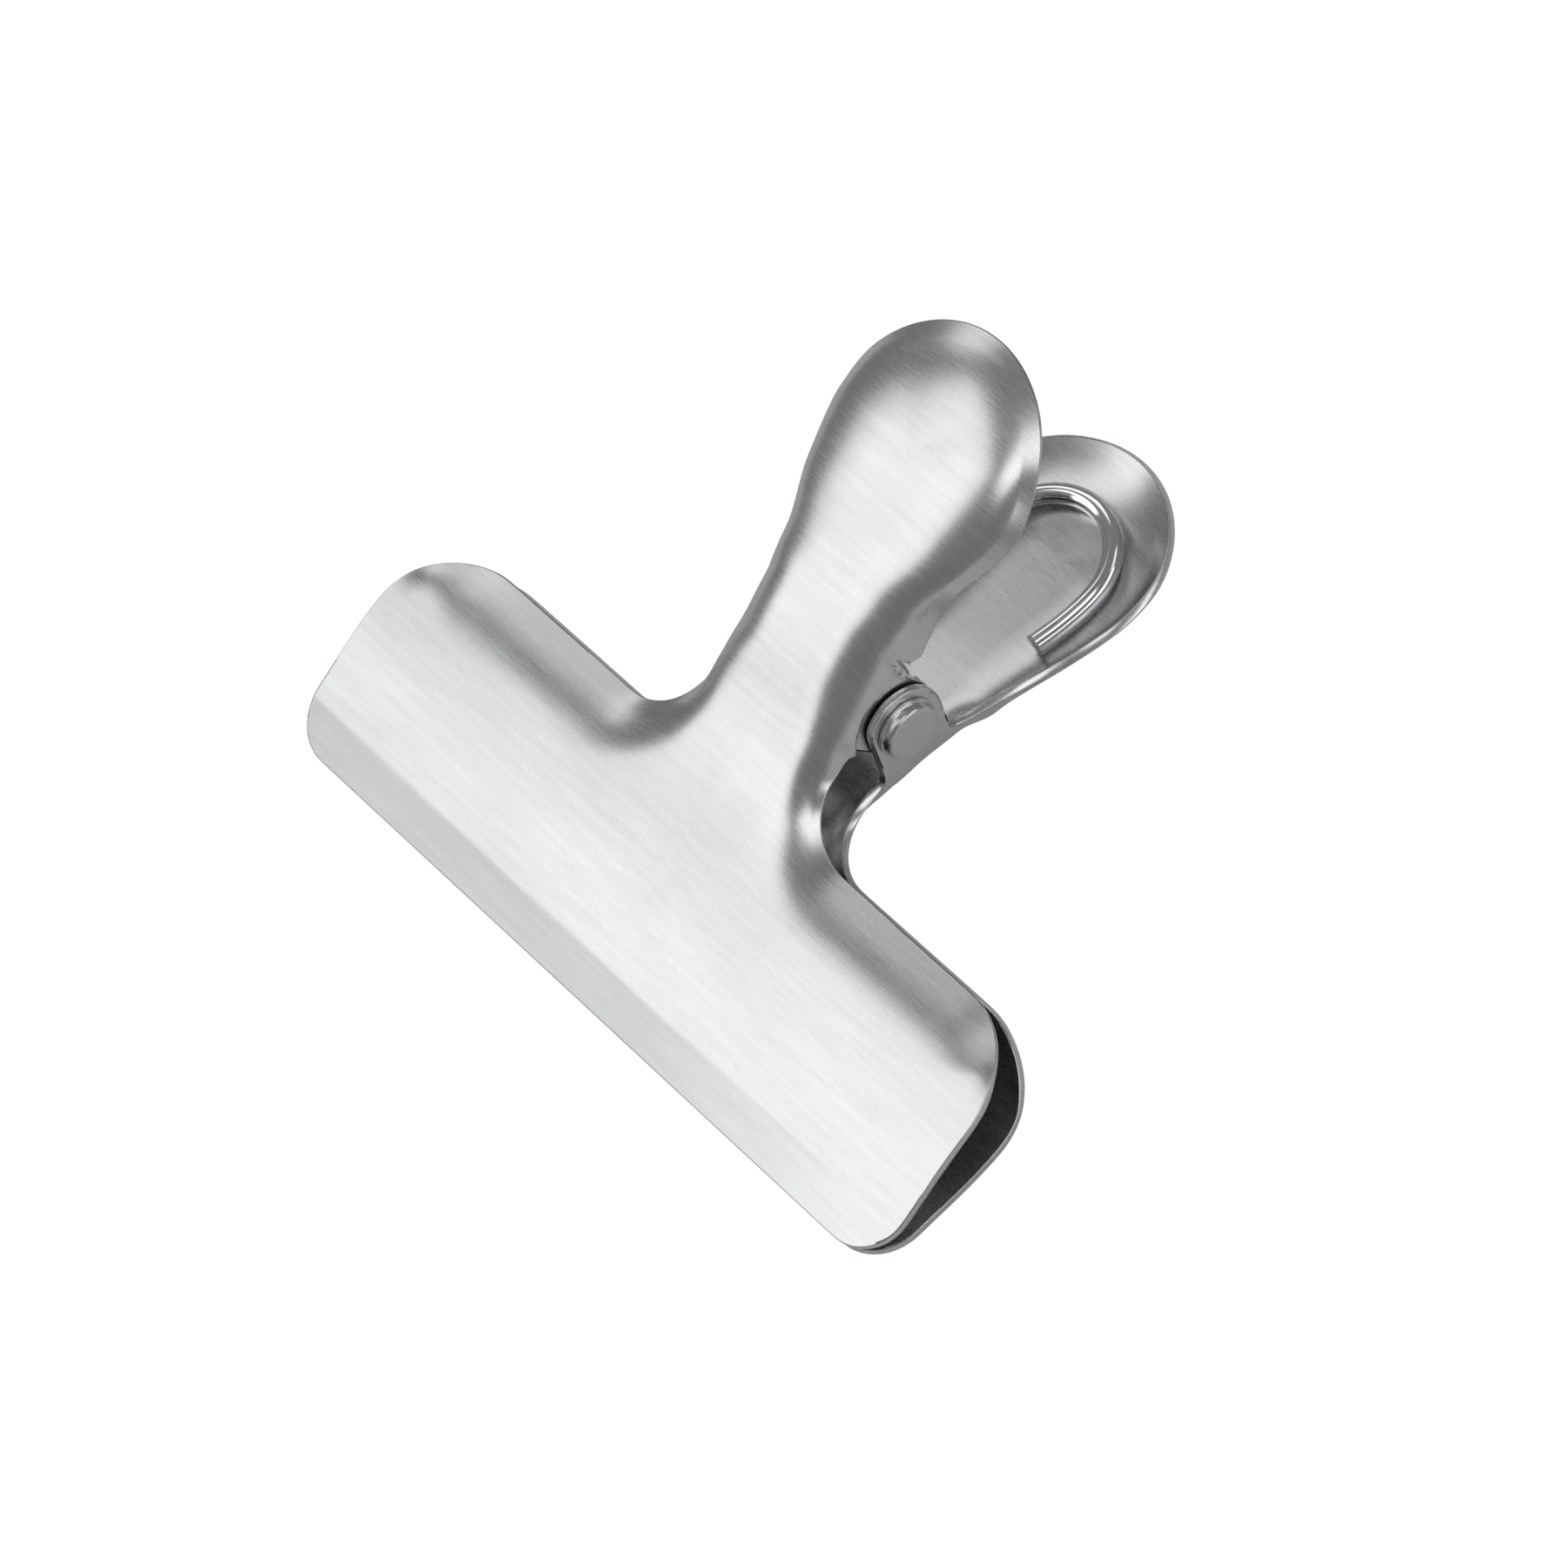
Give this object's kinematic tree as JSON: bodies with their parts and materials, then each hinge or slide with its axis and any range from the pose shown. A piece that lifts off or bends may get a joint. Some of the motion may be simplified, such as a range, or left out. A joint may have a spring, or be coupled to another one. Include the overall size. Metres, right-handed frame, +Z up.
{
  "type": "metal clip",
  "caption": "Wide spring clip of brushed sheet steel: T-shaped jaws hinged on a rivet, held shut by a hooked torsion spring.",
  "frame": {"origin": "middle of the footprint of the closed clip lying on its back jaw, on the surface it lies on", "axes": "+X along the jaws, +Y from the lips towards the handle tips, +Z up, out of the front jaw"},
  "size_m": [0.075, 0.0616, 0.0279],
  "materials": {
    "brushed_sheet": "satin brushed along the jaw",
    "rivet_steel": "satin, turned",
    "spring_wire": "bright drawn wire"
  },
  "bodies": {
    "back_body": {"back_jaw": "brushed_sheet", "pivot_rivet": "rivet_steel", "torsion_spring": "spring_wire"},
    "front_body": {"front_jaw": "brushed_sheet"}
  },
  "joints": [
    {"name": "jaw_hinge", "type": "hinge", "parent": "back_body", "child": "front_body", "pos_m": [0, 0.0011, 0.00862], "axis": [-1, 0, 0], "range_deg": [0, 47], "stiffness_Nm_per_rad": 0.5, "springref_deg": -22.92, "deforming": ["torsion_spring"]}
  ]
}
